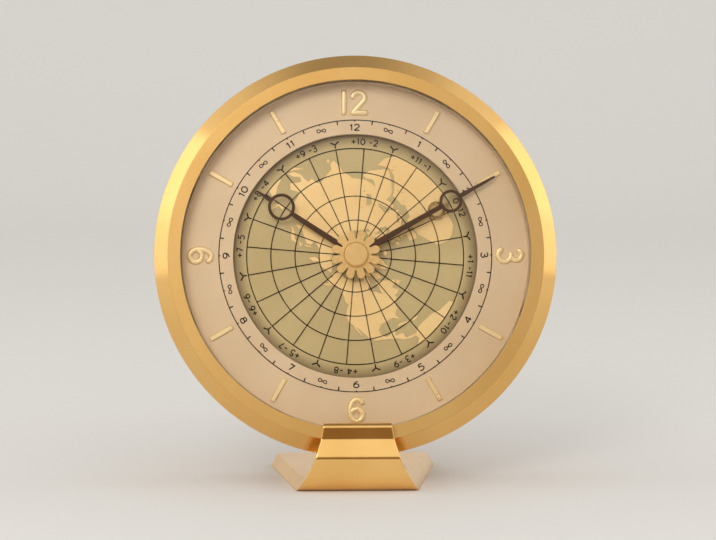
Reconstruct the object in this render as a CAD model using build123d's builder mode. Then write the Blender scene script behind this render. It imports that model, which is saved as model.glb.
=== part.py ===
"""Table world-time clock: a round gold clock on a bent plate stand.

Millimetres, +Z up, the face towards -Y. The origin lies on the stand's underside, midway between its sides.
The head leans back. Its own frame has u to the right, v up the face and w towards the viewer,
with w = 0 on the front of the dial.
"""

from build123d import *
from math import cos, radians, sin
import os

os.makedirs("parts", exist_ok=True)

# Head placement
lean_angle = 10.0
dial_centre_y = 3.5
head_gap = 5.5

# Bezel, crystal and spacer ring
bezel_radius = 80.0
bevel_width = 5.65
bevel_depth = 5.65
band_width = 4.95
bezel_wall = 6.0
bezel_front = 9.5
bezel_back = -6.0
crystal_rebate = 1.6
crystal_thickness = 2.0
crystal_front = 8.1
spacer_wall = 2.1

# Case
drum_wall = 1.0
drum_back = -36.0
drum_flange_width = 12.0
cover_thickness = 1.2
cover_rim_depth = 3.0
cover_rim_thickness = 1.0
post_inset = 7.0
post_radius = 2.5
carrier_spacer_radius = 3.0
post_angles = (35.0, 145.0, 215.0, 325.0)

# Dial
dial_thickness = 0.8
dial_opening_radius = 48.8
dial_flange_depth = 2.4
marker_inset = 7.2
baton_length = 10.2
baton_width = 2.0
marker_height = 0.9
marker_chamfer = 0.25
numeral_height = 8.6
numeral_width = 5.2
numeral_stroke = 2.1
twelve_one_u = -4.3
twelve_two_u = 1.8

# World disc
disc_radius = 50.5
disc_thickness = 1.0
disc_front = -3.2
equator_radius = 43.4
relief_height = 0.25
disc_turn = 65.0

# Hands, with angles clockwise from twelve
hand_thickness = 0.4
minute_angle = 60.75
hour_angle = 303.25
alarm_angle = 60.75
minute_hand_back = 3.0
hour_hand_back = 1.0
alarm_hand_back = -1.2
minute_tip_gap = 5.1
minute_ring_place = 43.6
minute_ring_radius = 4.6
minute_boss_radius = 3.2
hour_reach = 46.5
hour_ring_place = 35.2
hour_ring_radius = 5.4
hour_boss_radius = 3.4
alarm_reach = 43.0
alarm_ring_place = 37.3
alarm_ring_radius = 3.5
alarm_boss_radius = 4.2
blade_root_width = 2.5
blade_waist_width = 1.9
blade_tip_width = 0.8
alarm_root_width = 1.8
alarm_waist_width = 1.2
ring_width = 1.2
alarm_ring_width = 1.0
ring_overlap = 0.4
rosette_thickness = 0.5
rosette_radius = 9.8
rosette_hub_radius = 6.2
petal_count = 12
petal_width = 3.2
petal_root_width = 0.9
cap_radius = 5.0
cap_top = 5.6
cap_round = 0.6
cap_cover = 0.7

# Pipes and arbors around the centre, each running in the next
running_clearance = 0.05
centre_arbor_radius = 1.0
hour_pipe_radius = 1.8
alarm_pipe_radius = 2.6
disc_pipe_radius = 3.6
bush_radius = 6.0
bush_flange_radius = 8.0

# Movement plates
carrier_front = -6.8
carrier_thickness = 1.2
carrier_gap = 3.0
window_radius = 12.0
window_circle_radius = 42.0
rear_plate_front = -17.0
rear_plate_thickness = 1.0
rear_plate_width = 60.0
rear_plate_low = -20.0
rear_plate_high = 44.0
pillar_radius = 2.5
pillar_inset = 4.0

# Motion work, one layer of wheels behind another
wheel_thickness = 0.8
layer_step = 1.6
disc_wheel_front = -8.6
motion_module = 0.5
pinion_module = 0.48
motor_module = 0.4
cannon_teeth = 12
minute_wheel_teeth = 36
minute_pinion_teeth = 10
hour_wheel_teeth = 40
alarm_wheel_teeth = 30
alarm_set_teeth = 16
centre_wheel_teeth = 48
motor_pinion_teeth = 10
time_set_direction = 60.0
alarm_set_direction = 150.0
motor_direction = 90.0
stud_radius = 0.9
set_arbor_radius = 1.0
tooth_share = 0.42
tip_share = 0.42
addendum = 0.9
dedendum = 1.3

pinion_overrun = 0.2
stud_gap = 0.3
stud_shoulder_radius = 1.6
bush_flange_thickness = 1.2
pillar_thread = 4.0
post_spigot = 3.0

# Outside of the back
knob_radius = 6.5
knob_height = 7.0
knob_gap = 0.8
knob_flutes = 18
flute_radius = 0.5
knob_cap = 1.2
sound_hole_radius = 0.9
sound_hole_step = 3.8

# Motor, board and sounder
motor_radius = 9.0
motor_depth = 12.0
motor_shaft_radius = 0.8
motor_socket = 3.0
motor_shaft_gap = 0.3
board_width = 44.0
board_height = 18.0
board_thickness = 1.2
board_standoff = 4.0
board_centre_v = 33.0
board_inset = 3.0
board_post_radius = 2.0
board_pin_radius = 1.0
board_rivet_height = 0.8
quartz_radius = 1.5
quartz_u = 6.0
quartz_v = 37.0
chip_u = -6.0
chip_radius = 4.5
chip_height = 1.4
quartz_length = 6.2
buzzer_radius = 11.0
buzzer_height = 4.0
buzzer_u = -30.0
buzzer_v = 30.0
buzzer_mouth_radius = 9.5
buzzer_mouth_depth = 1.5

# Alarm switch
switch_u = 34.0
switch_v = 30.0
switch_travel = 5.0
switch_stem_width = 4.0
switch_stem_height = 3.6
switch_gap = 0.4
switch_overlap = 4.0
switch_flange_thickness = 1.2
switch_button_width = 6.0
switch_button_height = 2.4

# Battery, its tray and its door
battery_radius = 7.2
battery_length = 49.5
battery_nub_length = 1.0
battery_nub_radius = 2.7
battery_v = -36.0
battery_w = -27.0
battery_room = 0.1
tray_inner_height = 15.0
tray_wall = 1.2
contact_thickness = 0.4
contact_reach = 1.85
contact_width = 9.0
contact_bow_width = 5.0
door_gap = 0.5
hinge_pin_radius = 0.6
hinge_barrel_radius = 1.5
hinge_drop = 1.3
hinge_reach = 1.9
door_barrel_length = 16.0
lug_length = 4.0
lug_gap = 0.3
door_lift = 0.4
leaf_rise = 3.5

# Stand
plate_thickness = 5.0
foot_front_y = -26.5
foot_back_y = 42.5
foot_back_width = 68.4
foot_front_width = 46.8
side_slant = 0.53
waist_height = 11.5
lip_foot_width = 28.8
lip_top_width = 26.6
riser_height = 14.0
lip_hold = 13.0
lip_rise = 6.5
foot_bend_radius = 7.0
riser_bend_radius = 6.0
lip_bend_radius = 2.0
lip_round = 2.0
foot_corner_radius = 2.0

# Saddle between the foot and the drum
saddle_width = 22.0
saddle_front_y = -2.0
saddle_back_y = 22.0
saddle_corner_radius = 2.0
saddle_blank_height = 13.0
foot_screw_x = 6.0
foot_screw_y = 10.0
screw_radius = 1.5
screw_head_radius = 2.8
screw_head_height = 1.6
foot_screw_length = 11.0
saddle_screw_w = (-13.0, -27.0)
saddle_screw_bite = 5.0
drum_sagitta = 0.06
small_screw_radius = 1.2
small_head_radius = 2.3
small_head_height = 1.3
small_screw_grip = 4.0
screw_slot_width = 0.7
screw_slot_depth = 0.6

# Radii of the head, each from the one outside it
band_radius = bezel_radius - bevel_width
bezel_opening_radius = band_radius - band_width
crystal_radius = bezel_opening_radius + crystal_rebate
spacer_inner_radius = crystal_radius - spacer_wall
marker_circle_radius = spacer_inner_radius - marker_inset
minute_reach = spacer_inner_radius - minute_tip_gap
drum_radius = bezel_radius - bezel_wall
drum_inner_radius = drum_radius - drum_wall
drum_flange_inner_radius = drum_radius - drum_flange_width
post_circle_radius = drum_radius - post_inset
carrier_radius = drum_radius - carrier_gap
saddle_screw_end = drum_radius + saddle_screw_bite

# Frames of the head
dial_centre_height = plate_thickness + head_gap + bezel_radius
dial_centre = Vector(0, dial_centre_y, dial_centre_height)
face_normal = Vector(0, -cos(radians(lean_angle)), sin(radians(lean_angle)))
face_up = Vector(0, sin(radians(lean_angle)), cos(radians(lean_angle)))
face = Plane(origin=dial_centre, x_dir=(1, 0, 0), z_dir=face_normal)
half_section = Plane(origin=dial_centre, x_dir=(1, 0, 0), z_dir=face_up * -1)
face_axis = Axis(dial_centre, face_normal)

# Depths worked out from the driving dimensions
spacer_front = crystal_front - crystal_thickness
cover_back = drum_back - cover_thickness
carrier_back = carrier_front - carrier_thickness
rear_plate_back = rear_plate_front - rear_plate_thickness
alarm_wheel_front = disc_wheel_front - layer_step
hour_wheel_front = alarm_wheel_front - layer_step
minute_wheel_front = hour_wheel_front - layer_step
centre_wheel_front = minute_wheel_front - layer_step
rosette_back = minute_hand_back + hand_thickness
cap_back = rosette_back + rosette_thickness
drum_flange_back = -dial_thickness - drum_wall
arbor_front = cap_top - cap_cover
disc_pipe_front = disc_front + relief_height
alarm_pipe_front = alarm_hand_back + hand_thickness
hour_pipe_front = hour_hand_back + hand_thickness
knob_front = cover_back - knob_gap
knob_back = knob_front - knob_height
board_front = rear_plate_back - board_standoff
board_back = board_front - board_thickness
bore_start = bezel_front
bore_length = 2 * bezel_radius
centre = (0, 0)
standing = (Align.CENTER, Align.CENTER, Align.MIN)


def across(direction, distance):
    """A point on the face, by direction in degrees from u towards v."""
    angle = radians(direction)
    return distance * cos(angle), distance * sin(angle)


def clock(angle, distance):
    """A point on the face, by angle clockwise from twelve."""
    return across(90.0 - angle, distance)


def turned(*points):
    """Half section of a turned piece, each point a radius and a depth."""
    with BuildSketch(half_section) as half:
        with BuildLine():
            Polyline(*points, close=True)
        make_face()
    return half.sketch


def tube(outer, inner, front, back):
    """Half section of a plain tube."""
    return turned((inner, front), (outer, front), (outer, back), (inner, back))


def disc(depth, radius, centres=((0, 0),)):
    """Round outlines at one depth of the head."""
    with BuildSketch(face.offset(depth)) as round_outline:
        with Locations(*centres):
            Circle(radius)
    return round_outline.sketch


def gear(depth, teeth, module, centre, phase):
    """Outline of a clock wheel, with radial flanks and tapered tips."""
    pitch = teeth * module / 2
    radii = (pitch - dedendum * module, pitch, pitch + addendum * module)
    half_tooth = 180.0 / teeth * tooth_share
    shares = (half_tooth, half_tooth, half_tooth * tip_share)
    points = []
    for tooth in range(teeth):
        middle = phase + 360.0 * tooth / teeth
        points += [across(middle - share, radius) for share, radius in zip(shares, radii)]
        points += [across(middle + share, radius) for share, radius in zip(shares[::-1], radii[::-1])]
    with BuildSketch(face.offset(depth)) as outline:
        with Locations(centre):
            Polygon(*points, align=None)
    return outline.sketch


def meshed(teeth, phase, direction, next_teeth):
    """Phase of a wheel that meshes with one of known phase, in a given direction from it."""
    return direction + 180.0 - (teeth * (phase - direction) + 180.0) / next_teeth


def bore(radius, centres=((0, 0),)):
    """Cuts round holes right through the piece being built."""
    extrude(disc(bore_start, radius, centres), amount=-bore_length, mode=Mode.SUBTRACT)


def below(depth):
    """Plane on the head's axis at one depth, pointing down through the drum."""
    return Plane(face.from_local_coords((0, 0, depth)), x_dir=(1, 0, 0), z_dir=face_up * -1)


def along_u(offset):
    """Side section of the head, moved to the right by an offset."""
    return Plane(face.from_local_coords((offset, 0, 0)), x_dir=face_up, z_dir=(1, 0, 0))


def export(builder, name):
    """Labels one finished piece and writes it."""
    builder.part.label = name
    export_step(builder.part, f"parts/{name}.step")


# Places of the arbors on the face, and the phases of their teeth
train_distance = motion_module * (cannon_teeth + minute_wheel_teeth) / 2
minute_wheel_place = (train_distance, 0)
set_step = across(time_set_direction, train_distance)
time_set_place = (train_distance + set_step[0], set_step[1])
alarm_set_place = across(alarm_set_direction, motion_module * (alarm_wheel_teeth + alarm_set_teeth) / 2)
motor_place = across(motor_direction, motor_module * (centre_wheel_teeth + motor_pinion_teeth) / 2)
minute_wheel_phase = meshed(cannon_teeth, 0, 0, minute_wheel_teeth)
time_set_phase = meshed(minute_wheel_teeth, minute_wheel_phase, time_set_direction, cannon_teeth)
hour_wheel_phase = meshed(minute_pinion_teeth, 0, 180, hour_wheel_teeth)
alarm_set_phase = meshed(alarm_wheel_teeth, 0, alarm_set_direction, alarm_set_teeth)
motor_phase = meshed(centre_wheel_teeth, 0, motor_direction, motor_pinion_teeth)
post_places = [across(angle, post_circle_radius) for angle in post_angles]
pillar_u = rear_plate_width / 2 - pillar_inset
pillar_rows = (rear_plate_low + pillar_inset, rear_plate_high - pillar_inset)
pillar_places = [(side * pillar_u, v) for side in (-1, 1) for v in pillar_rows]

# Case: bezel, crystal, spacer ring, drum and back

with BuildPart() as bezel:
    revolve(
        turned(
            (bezel_opening_radius, bezel_front),
            (band_radius, bezel_front),
            (bezel_radius, bezel_front - bevel_depth),
            (bezel_radius, bezel_back),
            (drum_radius, bezel_back),
            (drum_radius, -dial_thickness),
            (crystal_radius, -dial_thickness),
            (crystal_radius, crystal_front),
            (bezel_opening_radius, crystal_front),
        ),
        axis=face_axis,
    )
export(bezel, "bezel")

with BuildPart() as crystal:
    extrude(disc(crystal_front, crystal_radius), amount=-crystal_thickness)
export(crystal, "crystal")

with BuildPart() as spacer_ring:
    revolve(tube(crystal_radius, spacer_inner_radius, spacer_front, 0), axis=face_axis)
export(spacer_ring, "spacer_ring")

with BuildPart() as case_drum:
    revolve(
        turned(
            (drum_flange_inner_radius, -dial_thickness),
            (drum_radius, -dial_thickness),
            (drum_radius, drum_back),
            (drum_inner_radius, drum_back),
            (drum_inner_radius, drum_flange_back),
            (drum_flange_inner_radius, drum_flange_back),
        ),
        axis=face_axis,
    )
    for depth in saddle_screw_w:
        with BuildSketch(below(depth)):
            Circle(screw_radius)
        extrude(amount=drum_radius + drum_wall, mode=Mode.SUBTRACT)
export(case_drum, "case_drum")

# Stand: one plate, bent up at the front into a riser, a slope and a lip over the bezel

lip_reach = bezel_front + plate_thickness
lip_top_v = lip_hold - bezel_radius
lip_top = face.from_local_coords((0, lip_top_v, lip_reach))
lip_foot = face.from_local_coords((0, lip_top_v - lip_rise, lip_reach))
bend_corners = [
    (foot_back_y, 0),
    (foot_front_y, 0),
    (foot_front_y, riser_height),
    (lip_foot.Y, lip_foot.Z),
    (lip_top.Y, lip_top.Z),
]
bend_radii = [foot_bend_radius, riser_bend_radius, lip_bend_radius]
waist_inset = side_slant * waist_height
waist_width = foot_front_width - 2 * waist_inset


def plan(inset):
    """Outline of the foot from above, drawn in from both sides."""
    back_half = foot_back_width / 2 - inset
    front_half = foot_front_width / 2 - inset
    return [
        (back_half, foot_back_y),
        (front_half, foot_front_y),
        (-front_half, foot_front_y),
        (-back_half, foot_back_y),
    ]


with BuildPart() as stand:
    with BuildSketch():
        Polygon(*plan(0), align=None)
    with BuildSketch(Plane.XY.offset(waist_height)):
        Polygon(*plan(waist_inset), align=None)
    loft()
    with BuildSketch(Plane.XZ):
        Polygon(
            (waist_width / 2, waist_height),
            (lip_foot_width / 2, lip_foot.Z),
            (lip_top_width / 2, lip_top.Z),
            (-lip_top_width / 2, lip_top.Z),
            (-lip_foot_width / 2, lip_foot.Z),
            (-waist_width / 2, waist_height),
            align=None,
        )
    extrude(amount=-foot_front_y)
    with BuildSketch(Plane.YZ.offset(-foot_back_width)):
        with BuildLine():
            FilletPolyline(*bend_corners, radius=bend_radii)
            offset(amount=plate_thickness, side=Side.RIGHT)
        make_face()
    extrude(amount=2 * foot_back_width, mode=Mode.INTERSECT)
    back_edges = stand.faces().sort_by(Axis.Y)[-1].edges().filter_by(Axis.X, reverse=True)
    fillet(back_edges, foot_corner_radius)
    fillet(stand.edges().filter_by(Axis.X).sort_by(Axis.Z)[-1], lip_round)
    with Locations(*[Plane((x, foot_screw_y, 0), z_dir=(0, 0, -1)) for x in (-foot_screw_x, foot_screw_x)]):
        CounterSinkHole(screw_radius, screw_head_radius, depth=plate_thickness)
export(stand, "stand")

with BuildPart() as stand_saddle:
    with BuildSketch(Plane.XY.offset(plate_thickness)):
        with Locations((0, (saddle_front_y + saddle_back_y) / 2)):
            RectangleRounded(saddle_width, saddle_back_y - saddle_front_y, saddle_corner_radius)
    extrude(amount=saddle_blank_height)
    extrude(disc(0, drum_radius), amount=drum_back, mode=Mode.SUBTRACT)
    with BuildSketch(Plane.XY.offset(plate_thickness)):
        with Locations((-foot_screw_x, foot_screw_y), (foot_screw_x, foot_screw_y)):
            Circle(screw_radius)
    extrude(amount=foot_screw_length - plate_thickness, mode=Mode.SUBTRACT)
    for depth in saddle_screw_w:
        with BuildSketch(below(depth)):
            Circle(screw_radius)
        extrude(amount=saddle_screw_end, mode=Mode.SUBTRACT)
export(stand_saddle, "stand_saddle")

with BuildPart() as foot_screws:
    with Locations((-foot_screw_x, foot_screw_y, 0), (foot_screw_x, foot_screw_y, 0)):
        Cone(screw_head_radius, screw_radius, screw_head_radius - screw_radius, align=standing)
        Cylinder(screw_radius, foot_screw_length, align=standing)
export(foot_screws, "foot_screws")

with BuildPart() as saddle_screws:
    for depth in saddle_screw_w:
        with Locations(below(depth).offset(drum_inner_radius - screw_head_height)):
            Cylinder(screw_head_radius, screw_head_height - drum_sagitta, align=standing)
            Cylinder(screw_radius, saddle_screw_end - drum_inner_radius + screw_head_height, align=standing)
export(saddle_screws, "saddle_screws")

# Dial with its applied markers

with BuildPart() as dial_plate:
    revolve(
        turned(
            (dial_opening_radius, 0),
            (crystal_radius, 0),
            (crystal_radius, -dial_thickness),
            (dial_opening_radius + dial_thickness, -dial_thickness),
            (dial_opening_radius + dial_thickness, -dial_flange_depth),
            (dial_opening_radius, -dial_flange_depth),
        ),
        axis=face_axis,
    )
export(dial_plate, "dial_plate")

with BuildPart() as hour_batons:
    with BuildSketch(face):
        for hour in (1, 2, 4, 5, 7, 8, 10, 11):
            with Locations(clock(30 * hour, marker_circle_radius)):
                Rectangle(baton_length, baton_width, rotation=90 - 30 * hour)
    extrude(amount=marker_height)
    chamfer(hour_batons.faces().group_by(face_axis)[-1].edges(), marker_chamfer)
export(hour_batons, "hour_batons")


def stroked(paths, centre, turn):
    """Outline of a figure drawn with one broad stroke, centred on the face and turned."""
    with BuildSketch(Plane(face.location * Pos(*centre) * Rot(0, 0, turn))) as figure:
        for path in paths:
            trace(path, line_width=numeral_stroke)
        with Locations(*[end for path in paths for end in (path @ 0, path @ 1)]):
            Circle(numeral_stroke / 2)
    return figure.sketch


def spot(right, up):
    """A point of a figure, in halves of its width and height from its centre."""
    return right * numeral_width / 2, up * numeral_height / 2


# Strokes of the figures, each about a centre of its own
one = [Line(spot(0, -1), spot(0, 1))]
two = [
    ThreePointArc(spot(-1, 0.56), spot(-0.04, 1.01), spot(0.8, 0.23)),
    Line(spot(0.8, 0.23), spot(-1, -1)),
    Line(spot(-1, -1), spot(1, -1)),
]
three = [
    ThreePointArc(spot(-0.68, 0.86), spot(0.8, 0.51), spot(-0.12, 0.09)),
    ThreePointArc(spot(-0.12, 0.09), spot(1, -0.49), spot(-0.84, -0.84)),
]
six = [
    ThreePointArc(spot(-0.88, -0.44), spot(0.04, 0.12), spot(0.96, -0.44)),
    ThreePointArc(spot(0.96, -0.44), spot(0.04, -1), spot(-0.88, -0.44)),
    ThreePointArc(spot(-0.79, -0.69), spot(-1.03, -0.07), spot(-0.47, 0.84)),
    ThreePointArc(spot(-0.47, 0.84), spot(0.11, 1), spot(0.83, 0.71)),
]

with BuildPart() as hour_numerals:
    extrude(stroked(one, (twelve_one_u, marker_circle_radius), 0), amount=marker_height)
    extrude(stroked(two, (twelve_two_u, marker_circle_radius), 0), amount=marker_height)
    extrude(stroked(three, (marker_circle_radius, 0), -90), amount=marker_height)
    extrude(stroked(six, (0, -marker_circle_radius), 0), amount=marker_height)
    extrude(stroked(six, (-marker_circle_radius, 0), -90), amount=marker_height)
export(hour_numerals, "hour_numerals")

# World disc with a map of the northern half of the world in relief, seen from above the pole.
# Coasts are pairs of longitude and latitude, east and north positive.

eurasia = [
    (-9, 37), (-9, 43), (-1.5, 43.5), (-1.5, 46), (-4.5, 48.5), (2, 51), (4.5, 53), (8.5, 54), (8, 57),
    (10.5, 57.5), (10.5, 54.5), (14, 54), (19, 54.5), (21.5, 57.5), (24, 59), (30, 60), (22, 60.2),
    (21.5, 63), (25, 65.3), (21.5, 65), (17.5, 62), (18.5, 60), (16.5, 57), (13, 55.5), (11, 59),
    (7.5, 58), (5, 60.5), (9, 63.5), (14, 67.5), (20, 70), (28, 71), (40, 67.5), (33, 66.5), (40, 64.5),
    (44, 66.5), (54, 68.5), (68, 68.5), (72, 72.5), (80, 73), (100, 76.5), (112, 74), (128, 72.5),
    (140, 72.5), (160, 70), (178, 69), (190, 66), (178, 62.5), (170, 60), (163, 59), (162, 55),
    (157, 51.5), (156, 57), (163, 61.5), (155, 59.5), (142, 59), (135, 54.5), (140.5, 52), (140, 48),
    (132, 43.5), (127.5, 40), (129.5, 36), (126.5, 34.5), (125, 39.5), (121.5, 39), (118, 39),
    (122, 37), (119.5, 35), (122, 31), (119.5, 25.5), (114, 22.5), (108.5, 21.5), (106, 19), (109, 13),
    (106.5, 9), (102.5, 12.5), (100.5, 13.5), (99.5, 10), (103, 5.5), (104, 1.5), (101, 3), (98.5, 8),
    (98, 13), (97, 17), (94, 16), (92, 22), (88, 21.5), (83, 17.5), (80, 15), (80, 10.5), (77.5, 8),
    (74.5, 14), (73, 20), (70.5, 21), (67, 24.8), (57.5, 25.7), (51.5, 28), (48.5, 30), (50, 26.5),
    (52, 24.5), (56, 24.5), (59.5, 22.5), (55, 17.5), (45, 12.9), (43, 13.5), (39, 21), (35.2, 28),
    (34.5, 31.4), (36, 36.5), (31, 36.5), (27.5, 37), (26.5, 39.5), (29, 40.8), (35, 42), (41.5, 41.5),
    (39, 44.5), (35, 45.5), (31, 46.5), (28.5, 44), (28, 42), (26, 40.8), (23, 40), (23, 37),
    (21.5, 37), (19.5, 41.5), (13.5, 45.5), (12.5, 44), (18.3, 40), (16, 38), (12, 42), (9, 44.3),
    (3.2, 43), (0, 40), (-2, 36.8), (-5.5, 36.2),
]
africa = [
    (33, 31), (29.5, 31), (23, 32.5), (20, 31), (15.5, 32.3), (10.5, 34), (10, 37.2), (0, 36), (-5.5, 35.2),
    (-9.8, 31), (-13, 27.5), (-17, 21), (-16.5, 15.5), (-15, 11), (-12.5, 7.5), (-7.5, 4.5), (-3, 5),
    (4, 6.3), (8.5, 4.5), (9.5, 0), (9.5, -4), (42, -4), (43, 0), (48, 5), (51, 11.5), (43.5, 11.3),
    (39, 15.5), (36.8, 20.5), (33.5, 27.5),
]
americas = [
    (-166, 68), (-156, 71.2), (-141, 69.8), (-128, 70), (-115, 68), (-96, 68), (-94, 72), (-86, 69),
    (-87, 64.5), (-94, 60.5), (-93, 58.5), (-85, 55.3), (-82, 53), (-79.5, 51.5), (-79, 55), (-77, 57.5),
    (-78, 62), (-71, 61), (-65, 58.5), (-60, 54.5), (-56, 52), (-60, 50), (-66, 50), (-65, 48.5),
    (-64, 46), (-61, 45.7), (-66, 43.7), (-70, 43.5), (-70, 41.5), (-74, 40), (-76, 37), (-75.7, 35.3),
    (-81, 31.5), (-80.2, 26), (-82.5, 28.5), (-84, 30), (-89.5, 29.8), (-94.5, 29.5), (-97.5, 26),
    (-97.5, 21.5), (-94.5, 18.2), (-91, 18.6), (-90, 21), (-87, 21.3), (-88.3, 16), (-83.5, 15),
    (-83.5, 10.5), (-79.5, 9.5), (-77, 8.5), (-75, 10.8), (-71.5, 12), (-62, 10.6), (-58, 7), (-51, 4),
    (-50, 0), (-50, -4), (-80, -4), (-80, 0), (-77.5, 4), (-78, 7.5), (-81, 7.5), (-85.5, 10),
    (-88, 13), (-94, 16), (-101, 17.5), (-105.5, 20.5), (-109, 25.5), (-112.5, 29.5), (-114.7, 31.5),
    (-113.5, 29.5), (-109.7, 23), (-112.2, 26), (-115.5, 30), (-117.2, 32.7), (-120.6, 34.6), (-124, 40),
    (-124, 46), (-123, 49), (-128, 51), (-130.5, 55), (-137, 58.8), (-146, 60.8), (-152, 59.5),
    (-158, 56.5), (-165, 54.5), (-158, 58.5), (-162, 59), (-166, 61.5), (-161, 64.5), (-168, 65.7),
]
greenland = [(-43, 60), (-50, 63.5), (-53.5, 68), (-57, 74), (-70, 78), (-40, 83), (-20, 78), (-22, 71.5)]
greenland += [(-33, 67.5), (-40, 64.5)]
britain = [(-5.5, 50), (1.3, 51.2), (1.7, 52.8), (-1.5, 55), (-2, 57.5), (-5, 58.5), (-5, 55), (-3, 54)]
ireland = [(-10, 52), (-6.2, 52.2), (-6, 54.5), (-8, 55.2), (-10, 54)]
iceland = [(-24, 65.5), (-22.5, 63.9), (-18.5, 63.4), (-13.7, 64.9), (-16, 66.4), (-22, 66.3)]
honshu = [(130, 31.3), (131.8, 33.3), (135.7, 33.5), (140.7, 35.5), (142, 39.5), (141, 41.3), (139.5, 38.5)]
honshu += [(136.5, 36.8), (132.5, 35.4), (129.8, 33)]
hokkaido = [(140, 42), (145.3, 43.3), (141.9, 45.4)]
sakhalin = [(142, 46.3), (143.5, 49), (142.8, 54.2), (142, 51)]
philippines = [(120.3, 18.3), (122.2, 18.2), (121.5, 14.2), (125.5, 11), (126.3, 7), (122.5, 7.2)]
philippines += [(120.3, 13.5)]
borneo = [(109, 1.8), (113, 3.3), (117, 6.8), (118.8, 5), (117.8, 1), (117.5, -3), (109, -3)]
sumatra = [(95.3, 5.5), (98, 4.2), (103, 0), (105, -3), (101, -3), (98.6, 1.7)]
ceylon = [(80, 9.4), (81.7, 7.5), (80.6, 6), (79.8, 7.5)]
cuba = [(-84.8, 22), (-82, 23), (-74.3, 20.2), (-77.5, 19.9)]
hispaniola = [(-74.3, 18.4), (-73, 19.9), (-68.5, 18.6), (-71.5, 17.7)]
newfoundland = [(-59.2, 47.7), (-53.2, 46.8), (-55.5, 51.2), (-58, 49.5)]
baffin = [(-64.5, 62), (-77.5, 64.5), (-73, 67.8), (-85, 70.5), (-88, 73.3), (-80, 73.7), (-68, 70)]
baffin += [(-62, 66.5)]
caspian = [(47.5, 45), (51, 46.8), (53, 45), (53.5, 41), (54, 37), (50, 37.3), (49.3, 40.5), (47.5, 43)]
lands = [eurasia, africa, americas, greenland, britain, ireland, iceland, honshu, hokkaido, sakhalin]
lands += [philippines, borneo, sumatra, ceylon, cuba, hispaniola, newfoundland, baffin]


def polar(longitude, latitude):
    """A place on the map, with equal steps of latitude along each meridian."""
    return clock(disc_turn - longitude, equator_radius * (90 - latitude) / 90)


with BuildPart() as world_disc:
    extrude(disc(disc_front, disc_radius), amount=-disc_thickness)
    extrude(disc(disc_front, disc_pipe_radius), amount=-disc_thickness, mode=Mode.SUBTRACT)
export(world_disc, "world_disc")

with BuildPart() as map_continents:
    with BuildSketch(face.offset(disc_front)):
        for coast in lands:
            Polygon(*[polar(*place) for place in coast], align=None)
        Polygon(*[polar(*place) for place in caspian], align=None, mode=Mode.SUBTRACT)
        Circle(equator_radius, mode=Mode.INTERSECT)
        Circle(disc_pipe_radius, mode=Mode.SUBTRACT)
    extrude(amount=relief_height)
export(map_continents, "map_continents")

# Hands, rosette and cap


def hand(depth, angle, blade, ring, boss):
    """Outline of a hand: a tapered blade with a ring in it, pointing along its angle."""
    reach, root_width, waist_width = blade
    ring_place, ring_radius, ring_line = ring
    boss_radius, boss_bore = boss
    near_ring = ring_place - ring_radius + ring_overlap
    far_ring = ring_place + ring_radius - ring_overlap
    with BuildSketch(face.offset(depth)) as outline:
        with Locations(Rot(0, 0, -angle)):
            Circle(boss_radius)
            Polygon(
                (-root_width / 2, 0),
                (root_width / 2, 0),
                (waist_width / 2, near_ring),
                (-waist_width / 2, near_ring),
                align=None,
            )
            with Locations((0, ring_place)):
                Circle(ring_radius)
                Circle(ring_radius - ring_line, mode=Mode.SUBTRACT)
            Polygon(
                (-waist_width / 2, far_ring),
                (waist_width / 2, far_ring),
                (blade_tip_width / 2, reach),
                (-blade_tip_width / 2, reach),
                align=None,
            )
            Circle(boss_bore, mode=Mode.SUBTRACT)
    return outline.sketch


minute_blade = (minute_reach, blade_root_width, blade_waist_width)
minute_ring = (minute_ring_place, minute_ring_radius, ring_width)
minute_boss = (minute_boss_radius, centre_arbor_radius)
hour_blade = (hour_reach, blade_root_width, blade_waist_width)
hour_ring = (hour_ring_place, hour_ring_radius, ring_width)
hour_boss = (hour_boss_radius, hour_pipe_radius)
alarm_blade = (alarm_reach, alarm_root_width, alarm_waist_width)
alarm_ring = (alarm_ring_place, alarm_ring_radius, alarm_ring_width)
alarm_boss = (alarm_boss_radius, alarm_pipe_radius)

with BuildPart() as minute_hand:
    extrude(
        hand(minute_hand_back, minute_angle, minute_blade, minute_ring, minute_boss),
        amount=hand_thickness,
    )
export(minute_hand, "minute_hand")

with BuildPart() as hour_hand:
    extrude(hand(hour_hand_back, hour_angle, hour_blade, hour_ring, hour_boss), amount=hand_thickness)
export(hour_hand, "hour_hand")

with BuildPart() as alarm_hand:
    extrude(hand(alarm_hand_back, alarm_angle, alarm_blade, alarm_ring, alarm_boss), amount=hand_thickness)
export(alarm_hand, "alarm_hand")

with BuildPart() as rosette:
    with BuildSketch(face.offset(rosette_back)):
        Circle(rosette_hub_radius)
        petal_reach = rosette_radius - petal_width / 2
        for petal in range(petal_count):
            petal_direction = 90 - minute_angle + (petal + 0.5) * 360 / petal_count
            with Locations(across(petal_direction, petal_reach)):
                Circle(petal_width / 2)
            with Locations(Rot(0, 0, petal_direction)):
                Polygon(
                    (0, -petal_root_width / 2),
                    (petal_reach, -petal_width / 2),
                    (petal_reach, petal_width / 2),
                    (0, petal_root_width / 2),
                    align=None,
                )
        Circle(centre_arbor_radius, mode=Mode.SUBTRACT)
    extrude(amount=rosette_thickness)
export(rosette, "rosette")

with BuildPart() as hand_cap:
    revolve(
        turned(
            (centre_arbor_radius, cap_back),
            (cap_radius, cap_back),
            (cap_radius, cap_top - cap_round),
            (cap_radius - cap_round, cap_top),
            (0, cap_top),
            (0, arbor_front),
            (centre_arbor_radius, arbor_front),
        ),
        axis=face_axis,
    )
export(hand_cap, "hand_cap")

# Motion work: wheels on nested pipes

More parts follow.
